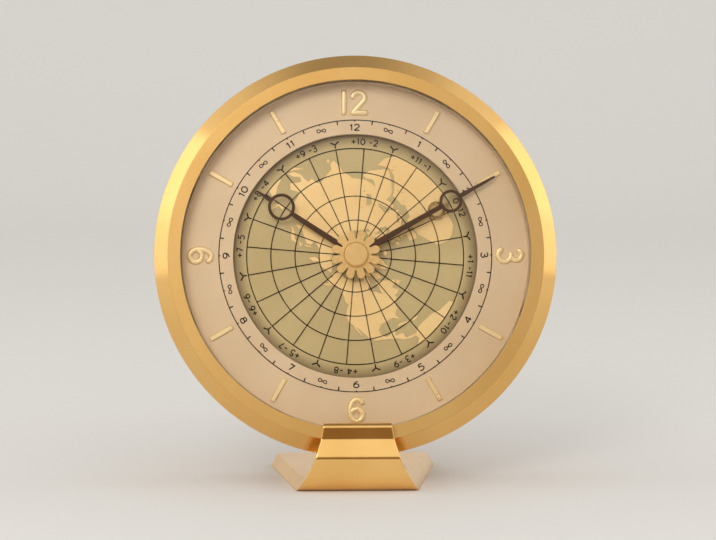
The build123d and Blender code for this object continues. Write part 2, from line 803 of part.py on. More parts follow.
with BuildPart() as disc_wheel:
    extrude(
        gear(disc_wheel_front, hour_wheel_teeth, pinion_module, centre, hour_wheel_phase),
        amount=-wheel_thickness,
    )
    extrude(disc(disc_wheel_front, disc_pipe_radius), amount=disc_pipe_front - disc_wheel_front)
    bore(alarm_pipe_radius + running_clearance)
export(disc_wheel, "disc_wheel")

with BuildPart() as alarm_wheel:
    extrude(gear(alarm_wheel_front, alarm_wheel_teeth, motion_module, centre, 0), amount=-wheel_thickness)
    extrude(disc(alarm_wheel_front, alarm_pipe_radius), amount=alarm_pipe_front - alarm_wheel_front)
    bore(hour_pipe_radius + running_clearance)
export(alarm_wheel, "alarm_wheel")

with BuildPart() as hour_wheel:
    extrude(
        gear(hour_wheel_front, hour_wheel_teeth, pinion_module, centre, hour_wheel_phase),
        amount=-wheel_thickness,
    )
    extrude(disc(hour_wheel_front, hour_pipe_radius), amount=hour_pipe_front - hour_wheel_front)
    bore(centre_arbor_radius + running_clearance)
export(hour_wheel, "hour_wheel")

with BuildPart() as centre_arbor:
    extrude(disc(arbor_front, centre_arbor_radius), amount=rear_plate_back - arbor_front)
    extrude(gear(minute_wheel_front, cannon_teeth, motion_module, centre, 0), amount=-wheel_thickness)
export(centre_arbor, "centre_arbor")

with BuildPart() as centre_wheel:
    extrude(gear(centre_wheel_front, centre_wheel_teeth, motor_module, centre, 0), amount=-wheel_thickness)
    bore(centre_arbor_radius)
export(centre_wheel, "centre_wheel")

with BuildPart() as minute_wheel:
    extrude(
        gear(minute_wheel_front, minute_wheel_teeth, motion_module, minute_wheel_place, minute_wheel_phase),
        amount=-wheel_thickness,
    )
    extrude(
        gear(minute_wheel_front, minute_pinion_teeth, pinion_module, minute_wheel_place, 0),
        amount=disc_wheel_front + pinion_overrun - minute_wheel_front,
    )
    bore(stud_radius + running_clearance, [minute_wheel_place])
export(minute_wheel, "minute_wheel")

with BuildPart() as minute_wheel_stud:
    extrude(disc(carrier_back, stud_radius, [minute_wheel_place]), amount=rear_plate_front - carrier_back)
    stud_shoulder_front = minute_wheel_front - wheel_thickness - stud_gap
    extrude(
        disc(stud_shoulder_front, stud_shoulder_radius, [minute_wheel_place]),
        amount=rear_plate_front - stud_shoulder_front,
    )
export(minute_wheel_stud, "minute_wheel_stud")

# Plates that carry the motion work

with BuildPart() as carrier_plate:
    extrude(disc(carrier_front, carrier_radius), amount=-carrier_thickness)
    bore(bush_radius)
    bore(small_screw_radius, post_places + pillar_places)
    bore(window_radius, [across(direction, window_circle_radius) for direction in (0, 90, 180, 270)])
export(carrier_plate, "carrier_plate")

with BuildPart() as centre_bush:
    extrude(disc(carrier_back, bush_radius), amount=carrier_thickness)
    extrude(disc(carrier_front, bush_flange_radius), amount=bush_flange_thickness)
    bore(disc_pipe_radius + running_clearance)
export(centre_bush, "centre_bush")

with BuildPart() as rear_plate:
    with BuildSketch(face.offset(rear_plate_front)):
        with Locations((0, (rear_plate_low + rear_plate_high) / 2)):
            RectangleRounded(rear_plate_width, rear_plate_high - rear_plate_low, pillar_inset)
    extrude(amount=-rear_plate_thickness)
    bore(centre_arbor_radius + running_clearance)
    bore(set_arbor_radius + running_clearance, [time_set_place, alarm_set_place])
    bore(motor_shaft_radius + running_clearance, [motor_place])
    bore(small_screw_radius, pillar_places)
export(rear_plate, "rear_plate")

with BuildPart() as plate_pillars:
    extrude(disc(carrier_back, pillar_radius, pillar_places), amount=rear_plate_front - carrier_back)
    extrude(disc(carrier_back, small_screw_radius, pillar_places), amount=-pillar_thread, mode=Mode.SUBTRACT)
    extrude(
        disc(rear_plate_front, small_screw_radius, pillar_places),
        amount=pillar_thread,
        mode=Mode.SUBTRACT,
    )
export(plate_pillars, "plate_pillars")

with BuildPart() as plate_screws:
    extrude(disc(carrier_front, small_head_radius, pillar_places), amount=small_head_height)
    extrude(disc(carrier_front, small_screw_radius, pillar_places), amount=-carrier_thickness - pillar_thread)
    extrude(disc(rear_plate_back, small_head_radius, pillar_places), amount=-small_head_height)
    extrude(
        disc(rear_plate_back, small_screw_radius, pillar_places),
        amount=rear_plate_thickness + pillar_thread,
    )
export(plate_screws, "plate_screws")

with BuildPart() as carrier_spacers:
    extrude(
        disc(drum_flange_back, carrier_spacer_radius, post_places),
        amount=carrier_front - drum_flange_back,
    )
    bore(small_screw_radius, post_places)
export(carrier_spacers, "carrier_spacers")

with BuildPart() as case_posts:
    extrude(disc(carrier_back, post_radius, post_places), amount=drum_back - carrier_back)
    extrude(disc(carrier_back, small_screw_radius, post_places), amount=carrier_thickness + post_spigot)
    extrude(disc(drum_back, small_screw_radius, post_places), amount=small_screw_grip, mode=Mode.SUBTRACT)
export(case_posts, "case_posts")

# Motor, board and sounder

with BuildPart() as drive_motor:
    extrude(disc(rear_plate_back, motor_radius, [motor_place]), amount=-motor_depth)
    extrude(
        disc(rear_plate_back, motor_shaft_radius + running_clearance, [motor_place]),
        amount=-motor_socket,
        mode=Mode.SUBTRACT,
    )
export(drive_motor, "drive_motor")

with BuildPart() as motor_pinion:
    extrude(
        gear(centre_wheel_front, motor_pinion_teeth, motor_module, motor_place, motor_phase),
        amount=-wheel_thickness,
    )
    extrude(
        disc(centre_wheel_front, motor_shaft_radius, [motor_place]),
        amount=rear_plate_back - motor_socket + motor_shaft_gap - centre_wheel_front,
    )
export(motor_pinion, "motor_pinion")

board_places = [
    (side * (board_width / 2 - board_inset), board_centre_v + lift * (board_height / 2 - board_inset))
    for side in (-1, 1)
    for lift in (-1, 1)
]

with BuildPart() as circuit_board:
    with BuildSketch(face.offset(board_front)):
        with Locations((0, board_centre_v)):
            Rectangle(board_width, board_height)
    extrude(amount=-board_thickness)
    bore(board_pin_radius, board_places)
export(circuit_board, "circuit_board")

with BuildPart() as board_posts:
    extrude(disc(rear_plate_back, board_post_radius, board_places), amount=-board_standoff)
    extrude(disc(board_front, board_pin_radius, board_places), amount=-board_thickness)
    extrude(disc(board_back, board_post_radius, board_places), amount=-board_rivet_height)
export(board_posts, "board_posts")

with BuildPart() as quartz_can:
    with BuildSketch(along_u(quartz_u)):
        with Locations((quartz_v, board_back - quartz_radius)):
            Circle(quartz_radius)
    extrude(amount=quartz_length)
export(quartz_can, "quartz_can")

with BuildPart() as control_chip:
    extrude(disc(board_back, chip_radius, [(chip_u, board_centre_v)]), amount=-chip_height)
    chamfer(control_chip.faces().group_by(face_axis)[0].edges(), chip_height / 2)
export(control_chip, "control_chip")

buzzer_place = (buzzer_u, buzzer_v)

with BuildPart() as buzzer:
    extrude(disc(drum_back, buzzer_radius, [buzzer_place]), amount=buzzer_height)
    extrude(
        disc(drum_back, buzzer_mouth_radius, [buzzer_place]),
        amount=buzzer_mouth_depth,
        mode=Mode.SUBTRACT,
    )
export(buzzer, "buzzer")

# Setting arbors and their knobs

with BuildPart() as time_set_arbor:
    extrude(
        gear(minute_wheel_front, cannon_teeth, motion_module, time_set_place, time_set_phase),
        amount=-wheel_thickness,
    )
    extrude(
        disc(minute_wheel_front, set_arbor_radius, [time_set_place]),
        amount=knob_back + knob_cap - minute_wheel_front,
    )
export(time_set_arbor, "time_set_arbor")

with BuildPart() as alarm_set_arbor:
    extrude(
        gear(alarm_wheel_front, alarm_set_teeth, motion_module, alarm_set_place, alarm_set_phase),
        amount=-wheel_thickness,
    )
    extrude(
        disc(alarm_wheel_front, set_arbor_radius, [alarm_set_place]),
        amount=knob_back + knob_cap - alarm_wheel_front,
    )
export(alarm_set_arbor, "alarm_set_arbor")


def knob_outline(place):
    """Round knob with a fluted rim."""
    with BuildSketch(face.offset(knob_front)) as outline:
        with Locations(place):
            Circle(knob_radius)
            with PolarLocations(knob_radius + flute_radius / 2, knob_flutes):
                Circle(flute_radius, mode=Mode.SUBTRACT)
    return outline.sketch


with BuildPart() as time_set_knob:
    extrude(knob_outline(time_set_place), amount=-knob_height)
    extrude(
        disc(knob_front, set_arbor_radius, [time_set_place]),
        amount=knob_cap - knob_height,
        mode=Mode.SUBTRACT,
    )
export(time_set_knob, "time_set_knob")

with BuildPart() as alarm_set_knob:
    extrude(knob_outline(alarm_set_place), amount=-knob_height)
    extrude(
        disc(knob_front, set_arbor_radius, [alarm_set_place]),
        amount=knob_cap - knob_height,
        mode=Mode.SUBTRACT,
    )
export(alarm_set_knob, "alarm_set_knob")

# Battery, tray, contacts and hinged door

battery_place = (battery_v, battery_w)
contact_u = battery_length / 2 + contact_reach
tray_inner_length = 2 * (contact_u + contact_thickness)
tray_front = battery_w + battery_radius + battery_room
tray_low = battery_v - tray_inner_height / 2
tray_high = battery_v + tray_inner_height / 2
hinge_v = tray_low - hinge_drop
hinge_w = cover_back - hinge_reach

with BuildPart() as battery:
    with BuildSketch(along_u(-battery_length / 2)):
        with Locations(battery_place):
            Circle(battery_radius)
    extrude(amount=battery_length)
    with BuildSketch(along_u(battery_length / 2)):
        with Locations(battery_place):
            Circle(battery_nub_radius)
    extrude(amount=battery_nub_length)
export(battery, "battery")

with BuildPart() as battery_tray:
    with BuildSketch(face.offset(drum_back)):
        with Locations((0, battery_v)):
            Rectangle(tray_inner_length + 2 * tray_wall, tray_inner_height + 2 * tray_wall)
    extrude(amount=tray_front + tray_wall - drum_back)
    with BuildSketch(face.offset(drum_back)):
        with Locations((0, battery_v)):
            Rectangle(tray_inner_length, tray_inner_height)
    extrude(amount=tray_front - drum_back, mode=Mode.SUBTRACT)
export(battery_tray, "battery_tray")

with BuildPart() as positive_contact:
    with BuildSketch(along_u(contact_u)):
        with Locations(battery_place):
            Rectangle(contact_width, contact_width)
    extrude(amount=contact_thickness)
    with BuildSketch(along_u(contact_u)):
        with Locations(battery_place):
            Circle(battery_nub_radius)
    extrude(amount=battery_length / 2 + battery_nub_length - contact_u)
export(positive_contact, "positive_contact")

with BuildPart() as negative_contact:
    with BuildSketch(along_u(-contact_u)):
        with Locations(battery_place):
            Rectangle(contact_width, contact_width)
    extrude(amount=-contact_thickness)
    bow_place = face.from_local_coords((-contact_u, battery_v, battery_w))
    with BuildSketch(Plane(bow_place, x_dir=(1, 0, 0), z_dir=face_up)):
        with BuildLine():
            bow_out = ThreePointArc((0, -contact_width / 2), (contact_reach, 0), (0, contact_width / 2))
            bow_in = ThreePointArc(
                (0, contact_width / 2 - contact_thickness),
                (contact_reach - contact_thickness, 0),
                (0, contact_thickness - contact_width / 2),
            )
            Line(bow_out @ 1, bow_in @ 0)
            Line(bow_in @ 1, bow_out @ 0)
        make_face()
    extrude(amount=contact_bow_width / 2, both=True)
export(negative_contact, "negative_contact")

with BuildPart() as battery_door:
    with BuildSketch(along_u(0)):
        with BuildLine():
            Polyline(
                (tray_low + door_gap, drum_back),
                (tray_high - door_gap, drum_back),
                (tray_high - door_gap, cover_back),
                (tray_low + door_gap, cover_back),
                close=True,
            )
        make_face()
    extrude(amount=tray_inner_length / 2 - door_gap, both=True)
    with BuildSketch(along_u(0)):
        with BuildLine():
            Polyline(
                (tray_low + door_gap, cover_back),
                (tray_low, cover_back - door_lift),
                (hinge_v, cover_back - door_lift),
                (hinge_v, hinge_w),
                (tray_low + leaf_rise / 2, hinge_w),
                (tray_low + leaf_rise, cover_back),
                close=True,
            )
        make_face()
        with Locations((hinge_v, hinge_w)):
            Circle(hinge_barrel_radius)
    extrude(amount=door_barrel_length / 2, both=True)
    with BuildSketch(along_u(0)):
        with Locations((hinge_v, hinge_w)):
            Circle(hinge_pin_radius + running_clearance)
    extrude(amount=door_barrel_length / 2, both=True, mode=Mode.SUBTRACT)
export(battery_door, "battery_door")

lug_start = door_barrel_length / 2 + lug_gap

with BuildPart() as battery_door_pin:
    with BuildSketch(along_u(0)):
        with Locations((hinge_v, hinge_w)):
            Circle(hinge_pin_radius)
    extrude(amount=lug_start + lug_length, both=True)
export(battery_door_pin, "battery_door_pin")

# Alarm switch in the back cover

switch_rest_u = switch_u - switch_travel / 2

with BuildPart() as alarm_switch:
    with BuildSketch(face.offset(drum_back + switch_gap)):
        with Locations((switch_rest_u, switch_v)):
            Rectangle(switch_stem_width + switch_overlap, switch_stem_height + switch_overlap)
    extrude(amount=switch_flange_thickness)
    with BuildSketch(face.offset(drum_back + switch_gap)):
        with Locations((switch_rest_u, switch_v)):
            Rectangle(switch_stem_width, switch_stem_height)
    extrude(amount=-cover_thickness - 2 * switch_gap)
    with BuildSketch(face.offset(cover_back - switch_gap)):
        with Locations((switch_rest_u, switch_v)):
            RectangleRounded(switch_button_width, switch_button_width, switch_gap)
    extrude(amount=-switch_button_height)
export(alarm_switch, "alarm_switch")

with BuildPart() as switch_housing:
    pocket_length = switch_stem_width + switch_overlap + switch_travel + 2 * switch_gap
    pocket_height = switch_stem_height + switch_overlap + 2 * switch_gap
    pocket_depth = switch_flange_thickness + 2 * switch_gap
    with BuildSketch(face.offset(drum_back)):
        with Locations((switch_u, switch_v)):
            Rectangle(pocket_length + 2 * tray_wall, pocket_height + 2 * tray_wall)
    extrude(amount=pocket_depth + tray_wall)
    with BuildSketch(face.offset(drum_back)):
        with Locations((switch_u, switch_v)):
            Rectangle(pocket_length, pocket_height)
    extrude(amount=pocket_depth, mode=Mode.SUBTRACT)
export(switch_housing, "switch_housing")

# Back cover with its openings, sound holes and hinge lugs

with BuildPart() as back_cover:
    extrude(disc(drum_back, drum_radius), amount=-cover_thickness)
    rim_inner_radius = drum_inner_radius - cover_rim_thickness
    revolve(tube(drum_inner_radius, rim_inner_radius, drum_back + cover_rim_depth, drum_back), axis=face_axis)
    bore(small_screw_radius, post_places)
    bore(set_arbor_radius + running_clearance, [time_set_place, alarm_set_place])
    with BuildSketch(face.offset(drum_back)):
        with Locations((0, battery_v)):
            Rectangle(tray_inner_length, tray_inner_height)
        with Locations((switch_u, switch_v)):
            Rectangle(switch_stem_width + switch_travel + 2 * switch_gap, switch_stem_height + 2 * switch_gap)
        with Locations(buzzer_place):
            Circle(sound_hole_radius)
            for ring in (1, 2):
                with PolarLocations(ring * sound_hole_step, 6 * ring):
                    Circle(sound_hole_radius)
    extrude(amount=-cover_thickness, mode=Mode.SUBTRACT)
    for side in (-1, 1):
        with BuildSketch(along_u(side * lug_start)):
            with Locations((hinge_v, hinge_w)):
                Circle(hinge_barrel_radius)
            with Locations((hinge_v, (hinge_w + cover_back) / 2)):
                Rectangle(2 * hinge_barrel_radius, hinge_reach)
            with Locations((hinge_v, hinge_w)):
                Circle(hinge_pin_radius, mode=Mode.SUBTRACT)
        extrude(amount=side * lug_length)
export(back_cover, "back_cover")

with BuildPart() as back_cover_screws:
    extrude(disc(cover_back, small_head_radius, post_places), amount=-small_head_height)
    extrude(disc(cover_back, small_screw_radius, post_places), amount=cover_thickness + small_screw_grip)
    with BuildSketch(face.offset(cover_back - small_head_height)):
        with Locations(*post_places):
            Rectangle(2 * small_head_radius, screw_slot_width)
    extrude(amount=screw_slot_depth, mode=Mode.SUBTRACT)
export(back_cover_screws, "back_cover_screws")
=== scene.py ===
"""Looks of a table world-time clock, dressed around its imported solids. Metres, the face towards -Y.

Places on the face are in millimetres: u to the right, v up the face and w towards the viewer,
with w = 0 on the front of the dial. Angles on the face run clockwise from twelve, in degrees.
"""

import math

import bmesh
import bpy
from mathutils import Matrix, Vector


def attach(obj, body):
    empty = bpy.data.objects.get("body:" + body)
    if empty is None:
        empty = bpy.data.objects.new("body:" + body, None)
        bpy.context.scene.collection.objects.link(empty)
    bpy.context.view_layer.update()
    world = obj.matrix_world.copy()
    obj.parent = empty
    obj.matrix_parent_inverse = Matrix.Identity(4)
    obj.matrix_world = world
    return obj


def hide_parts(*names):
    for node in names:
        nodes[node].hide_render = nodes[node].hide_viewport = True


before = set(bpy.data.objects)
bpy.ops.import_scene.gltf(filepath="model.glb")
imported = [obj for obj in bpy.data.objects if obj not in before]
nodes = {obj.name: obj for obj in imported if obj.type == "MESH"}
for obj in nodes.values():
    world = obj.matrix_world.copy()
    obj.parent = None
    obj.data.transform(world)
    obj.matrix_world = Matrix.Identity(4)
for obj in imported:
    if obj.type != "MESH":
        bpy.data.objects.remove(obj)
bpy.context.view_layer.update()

# Placement of the head
MM = 0.001
LEAN = math.radians(10)
CENTRE = Vector((0, 3.5, 90.5)) * MM
RIGHT = Vector((1, 0, 0))
UP = Vector((0, math.sin(LEAN), math.cos(LEAN)))
OUT = Vector((0, -math.cos(LEAN), math.sin(LEAN)))
FACE = Matrix((RIGHT * MM, UP * MM, OUT * MM)).transposed().to_4x4()
FACE.translation = CENTRE

# Sizes of the dial and disc, as the solids have them
DISC_FRONT = -3.2
LAND_RELIEF = 0.25
EQUATOR = 43.4
DISC_TURN = 65.0
MARKER_CIRCLE = 61.7

# Depths between which the prints lie
INK = 0.04
ON_DIAL = (0.0, INK)
ON_DISC = (DISC_FRONT, DISC_FRONT + INK)
OVER_LAND = (DISC_FRONT, DISC_FRONT + LAND_RELIEF + INK)


# Paths on the face


def clock(angle, radius):
    """A point on the face, by angle clockwise from twelve and distance."""
    turn = math.radians(angle)
    return Vector((radius * math.sin(turn), radius * math.cos(turn)))


def circle(radius, steps=180):
    """Points round a circle on the face."""
    return [clock(360 * step / steps, radius) for step in range(steps)]


def stroke(*points):
    """Points of a straight or bent stroke."""
    return [Vector(point) for point in points]


def oval(x, y, across, up, steps=24):
    """Points round an upright ellipse."""
    turns = [2 * math.pi * step / steps for step in range(steps)]
    return [Vector((x + across * math.cos(turn), y + up * math.sin(turn))) for turn in turns]


def arc(start, through, end, steps=24):
    """Points along the arc of a circle through three points."""
    ax, ay, bx, by, cx, cy = *start, *through, *end
    d = 2 * (ax * (by - cy) + bx * (cy - ay) + cx * (ay - by))
    a2, b2, c2 = ax * ax + ay * ay, bx * bx + by * by, cx * cx + cy * cy
    mid = Vector((
        (a2 * (by - cy) + b2 * (cy - ay) + c2 * (ay - by)) / d,
        (a2 * (cx - bx) + b2 * (ax - cx) + c2 * (bx - ax)) / d,
    ))
    radius = (Vector(start) - mid).length
    turns = [math.atan2(p[1] - mid.y, p[0] - mid.x) for p in (start, through, end)]
    sweep = (turns[2] - turns[0]) % (2 * math.pi)
    if (turns[1] - turns[0]) % (2 * math.pi) > sweep:
        sweep -= 2 * math.pi
    points = []
    for step in range(steps + 1):
        turn = turns[0] + sweep * step / steps
        points.append(mid + radius * Vector((math.cos(turn), math.sin(turn))))
    return points


# Meshes


def link(name, data):
    """Adds an object for a mesh, lamp or camera to the scene."""
    obj = bpy.data.objects.new(name, data)
    bpy.context.scene.collection.objects.link(obj)
    return obj


def add(name, bm, mat, sharp=None):
    """Adds an object for a finished mesh, with flat faces unless the angle of its sharp edges is given."""
    mesh = bpy.data.meshes.new(name)
    bm.to_mesh(mesh)
    bm.free()
    mesh.materials.append(mat)
    if sharp is not None:
        mesh.polygons.foreach_set("use_smooth", [True] * len(mesh.polygons))
        mesh.set_sharp_from_angle(angle=math.radians(sharp))
    return link(name, mesh)


def face_piece(name, bm, body, mat, sharp=None):
    """Finishes a mesh drawn on the face, in millimetres, as a piece that rides on a body."""
    bmesh.ops.recalc_face_normals(bm, faces=bm.faces)
    bm.transform(FACE)
    obj = add(name, bm, mat, sharp)
    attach(obj, body)
    return obj


def ribbon(bm, points, width, depths, closed=False):
    """A flat printed stroke along points on the face, from one depth to another."""
    low, high = depths
    count = len(points)
    rows = ([], [], [], [])
    for place, point in enumerate(points):
        before = points[place - 1] if closed or place else point
        after = points[(place + 1) % count] if closed or place < count - 1 else point
        along = (after - before).normalized()
        side = Vector((-along.y, along.x)) * width / 2
        corners = ((point + side, low), (point - side, low), (point - side, high), (point + side, high))
        for row, (corner, depth) in zip(rows, corners):
            row.append(bm.verts.new((corner.x, corner.y, depth)))
    for place in range(count if closed else count - 1):
        after = (place + 1) % count
        for one, two in zip(rows, rows[1:] + rows[:1]):
            bm.faces.new((one[place], two[place], two[after], one[after]))
    if not closed:
        bm.faces.new([row[0] for row in rows])
        bm.faces.new([row[-1] for row in reversed(rows)])


# Domed strokes: steps across, steps round an end, how far short of a point it stops, and the section's power
ARCH_STEPS = 12
CAP_STEPS = 5
CAP_STOP = 0.4
ARCH_POWER = 0.75


def half_round(bm, path, radius, height):
    """A domed stroke along a path on the dial, with round ends."""
    first = (path[0] - path[1]).normalized()
    last = (path[-1] - path[-2]).normalized()
    turns = [math.pi / 2 * step / (CAP_STEPS + CAP_STOP) for step in range(1, CAP_STEPS + 1)]
    stations = []
    for turn in reversed(turns):
        stations.append((path[0] + first * radius * math.sin(turn), -first, math.cos(turn)))
    for place, point in enumerate(path):
        before = path[max(place - 1, 0)]
        after = path[min(place + 1, len(path) - 1)]
        stations.append((point, (after - before).normalized(), 1.0))
    for turn in turns:
        stations.append((path[-1] + last * radius * math.sin(turn), last, math.cos(turn)))
    rings = []
    for point, along, share in stations:
        side = Vector((-along.y, along.x))
        ring = []
        for step in range(ARCH_STEPS + 1):
            turn = math.pi * step / ARCH_STEPS
            place = point + side * radius * share * math.cos(turn)
            rise = height * share * max(math.sin(turn), 0.0) ** ARCH_POWER
            ring.append(bm.verts.new((place.x, place.y, rise)))
        rings.append(ring)
    for one, two in zip(rings, rings[1:]):
        for step in range(ARCH_STEPS):
            bm.faces.new((one[step], one[step + 1], two[step + 1], two[step]))
        bm.faces.new((one[-1], one[0], two[0], two[-1]))
    bm.faces.new(rings[0])
    bm.faces.new(reversed(rings[-1]))


# Plain printed figures one unit high: the width of each, its open strokes and its closed ones
BOW_STEPS = 12
SIX_TAIL = arc((0.0, 0.31), (0.13, 0.76), (0.52, 1.0), BOW_STEPS)
FIGURES = {
    "0": (0.70, [], [oval(0.35, 0.5, 0.35, 0.5)]),
    "1": (0.32, [stroke((0.2, 0), (0.2, 1)), stroke((0, 0.78), (0.22, 1))], []),
    "2": (
        0.64,
        [
            arc((0.02, 0.74), (0.34, 1.0), (0.56, 0.56), BOW_STEPS) + stroke((0, 0)),
            stroke((-0.06, 0), (0.64, 0)),
        ],
        [],
    ),
    "3": (
        0.60,
        [
            arc((0.02, 0.9), (0.52, 0.78), (0.2, 0.54), BOW_STEPS),
            arc((0.2, 0.54), (0.6, 0.28), (0, 0.1), BOW_STEPS),
        ],
        [],
    ),
    "4": (
        0.74,
        [
            stroke((0.52, 0), (0.52, 1.04)),
            stroke((0.54, 1), (0, 0.28)),
            stroke((-0.04, 0.28), (0.74, 0.28)),
        ],
        [],
    ),
    "5": (
        0.62,
        [
            stroke((0.58, 1), (0.08, 1)),
            stroke((0.12, 1), (0.07, 0.52)),
            arc((0.07, 0.56), (0.62, 0.3), (0, 0.06), BOW_STEPS),
        ],
        [],
    ),
    "6": (0.64, [SIX_TAIL], [oval(0.32, 0.31, 0.32, 0.31)]),
    "7": (0.62, [stroke((0, 1), (0.66, 1)), stroke((0.6, 1), (0.2, 0))], []),
    "8": (0.64, [], [oval(0.32, 0.28, 0.32, 0.28), oval(0.32, 0.775, 0.25, 0.225)]),
    "9": (0.64, [[Vector((0.64, 1.0)) - point for point in SIX_TAIL]], [oval(0.32, 0.69, 0.32, 0.31)]),
    "+": (0.7, [stroke((0, 0.46), (0.7, 0.46)), stroke((0.35, 0.11), (0.35, 0.81))], []),
    "-": (0.5, [stroke((0, 0.46), (0.5, 0.46))], []),
    " ": (0.2, [], []),
}
FIGURE_GAP = 0.3


def lettering(bm, text, angle, radius, height, width, depths, inward=False, stretch=1.0):
    """Plain figures set along a circle, with their tops outward unless told otherwise."""
    sign = -1 if inward else 1
    length = sum(FIGURES[figure][0] * stretch + FIGURE_GAP for figure in text) - FIGURE_GAP
    reached = -length / 2
    for figure in text:
        wide, open_strokes, closed_strokes = FIGURES[figure]
        for paths, closed in ((open_strokes, False), (closed_strokes, True)):
            for path in paths:
                bent = []
                for point in path:
                    across = math.degrees((reached + point.x * stretch) * height / radius)
                    bent.append(clock(angle + sign * across, radius + sign * (point.y - 0.5) * height))
                ribbon(bm, bent, width, depths, closed)
        reached += wide * stretch + FIGURE_GAP


# Materials

# Scale and detail of each noise, and the range in which most of its values lie
METAL_DRIFT = (38.0, 4.0)
METAL_MARKS = (900.0, 2.0)
PAINT_DRIFT = (30.0, 5.0)
PAINT_GRAIN = (1400.0, 3.0)
BEZEL_DRIFT = (26.0, 3.0)
BEZEL_LINES = (1.0, 2.0)
GLASS_SMUDGES = (45.0, 4.0)
NOISE_RANGE = (0.3, 0.7)
SMUDGE_RANGE = (0.45, 0.8)

# Depths of the bumps, in metres
MARK_DEPTH = 0.00004
GRAIN_DEPTH = 0.00005
LINE_DEPTH = 0.00003

BEVEL_SAMPLES = 6


class Tree:
    """A node tree, with short calls for the nodes that it needs."""

    def __init__(self, tree):
        self.tree = tree

    def node(self, kind, **settings):
        made = self.tree.nodes.new(kind)
        for key, value in settings.items():
            setattr(made, key, value)
        return made

    def put(self, socket, value):
        """Links or sets a socket, unless the value is None. Colours come without their alpha."""
        if value is None:
            return
        if isinstance(value, bpy.types.NodeSocket):
            self.tree.links.new(value, socket)
        elif socket.type == "RGBA":
            socket.default_value = (*value, 1.0)
        else:
            socket.default_value = value

    def math(self, operation, *values):
        made = self.node("ShaderNodeMath", operation=operation)
        for socket, value in zip(made.inputs, values):
            self.put(socket, value)
        return made.outputs[0]

    def vector(self, operation, *values):
        made = self.node("ShaderNodeVectorMath", operation=operation)
        for socket, value in zip(made.inputs, values):
            self.put(socket, value)
        return made.outputs["Value" if operation in ("DOT_PRODUCT", "LENGTH") else "Vector"]

    def span(self, value, low, high, source=NOISE_RANGE, **settings):
        """Carries a value over from its own range to another, and keeps it inside."""
        made = self.node("ShaderNodeMapRange", clamp=True, **settings)
        for socket, number in zip(made.inputs, (value, *source, low, high)):
            self.put(socket, number)
        return made.outputs[0]

    def mix(self, share, one, two, kind="RGBA"):
        made = self.node("ShaderNodeMix", data_type=kind)
        for key, value in (("Factor", share), ("A", one), ("B", two)):
            self.put(made.inputs[key], value)
        return made.outputs["Result"]


class Shader(Tree):
    """One material, with the patterns and edges that surfaces here are made of."""

    def __init__(self, name):
        self.material = bpy.data.materials.new(name)
        self.material.use_nodes = True
        super().__init__(self.material.node_tree)
        self.surface = self.tree.nodes["Principled BSDF"]
        self.coordinates = self.node("ShaderNodeTexCoord").outputs["Object"]

    def set(self, **values):
        for key, value in values.items():
            self.put(self.surface.inputs[key.replace("_", " ")], value)

    def noise(self, pattern, vector=None):
        made = self.node("ShaderNodeTexNoise")
        self.put(made.inputs["Vector"], vector or self.coordinates)
        for key, value in zip(("Scale", "Detail"), pattern):
            self.put(made.inputs[key], value)
        return made.outputs["Fac"]

    def polar(self):
        """Distance from the middle of the face, in millimetres, and angle round it."""
        place = self.vector("SUBTRACT", self.coordinates, CENTRE)
        u = self.vector("DOT_PRODUCT", place, RIGHT)
        v = self.vector("DOT_PRODUCT", place, UP)
        flat = self.node("ShaderNodeCombineXYZ")
        self.put(flat.inputs["X"], u)
        self.put(flat.inputs["Y"], v)
        away = self.math("MULTIPLY", self.vector("LENGTH", flat.outputs[0]), 1 / MM)
        return away, self.math("ARCTAN2", v, u)

    def round_edges(self, radius):
        """Normal that rounds the edges by a radius in millimetres."""
        if not radius:
            return None
        made = self.node("ShaderNodeBevel", samples=BEVEL_SAMPLES)
        self.put(made.inputs["Radius"], radius * MM)
        return made.outputs["Normal"]

    def bump(self, height, strength, distance, normal=None):
        if not strength:
            return normal
        made = self.node("ShaderNodeBump")
        self.put(made.inputs["Strength"], strength)
        self.put(made.inputs["Distance"], distance)
        self.put(made.inputs["Height"], height)
        self.put(made.inputs["Normal"], normal)
        return made.outputs["Normal"]


def colour(*display):
    """A colour by its display values from 0 to 255, as the renderer wants it."""
    linear = []
    for value in display:
        share = value / 255
        linear.append(share / 12.92 if share <= 0.04045 else ((share + 0.055) / 1.055) ** 2.4)
    return tuple(linear)


# Share of the drift, beside the marks, in a metal's gloss
DRIFT_SHARE = 0.6


def metal(name, light, dark, rough, edge=0.15, lift=0.08, metallic=1.0):
    """Metal whose tone and gloss drift a little, with fine handling marks and soft edges."""
    shader = Shader(name)
    drift = shader.noise(METAL_DRIFT)
    marks = shader.noise(METAL_MARKS)
    gloss = shader.math(
        "ADD",
        shader.math("MULTIPLY", drift, DRIFT_SHARE),
        shader.math("MULTIPLY", marks, 1 - DRIFT_SHARE),
    )
    shader.set(
        Base_Color=shader.mix(shader.span(drift, 0.0, 1.0), dark, light),
        Metallic=metallic,
        Roughness=shader.span(gloss, *rough),
        Normal=shader.bump(marks, lift, MARK_DEPTH, shader.round_edges(edge)),
    )
    return shader.material


def lacquer(name, light, dark, rough, metallic=0.0, lift=0.1, edge=0.1, shine=0.5):
    """Paint or moulded plastic, with a drifting tone and a fine surface grain."""
    shader = Shader(name)
    drift = shader.noise(PAINT_DRIFT)
    grain = shader.noise(PAINT_GRAIN)
    shader.set(
        Base_Color=shader.mix(shader.span(drift, 0.0, 1.0), dark, light),
        Metallic=metallic,
        Roughness=shader.span(grain, *rough),
        Specular_IOR_Level=shine,
        Normal=shader.bump(grain, lift, GRAIN_DEPTH, shader.round_edges(edge)),
    )
    return shader.material


# Radii between which painted shadow darkens the disc towards its rim, standing in for the shade that the
# dial's opening casts on it, and the share of the shadow colour at its edge
PAINTED_SHADOW_RADII = (44.0, 49.0)
PAINTED_SHADOW_SHARE = 0.85


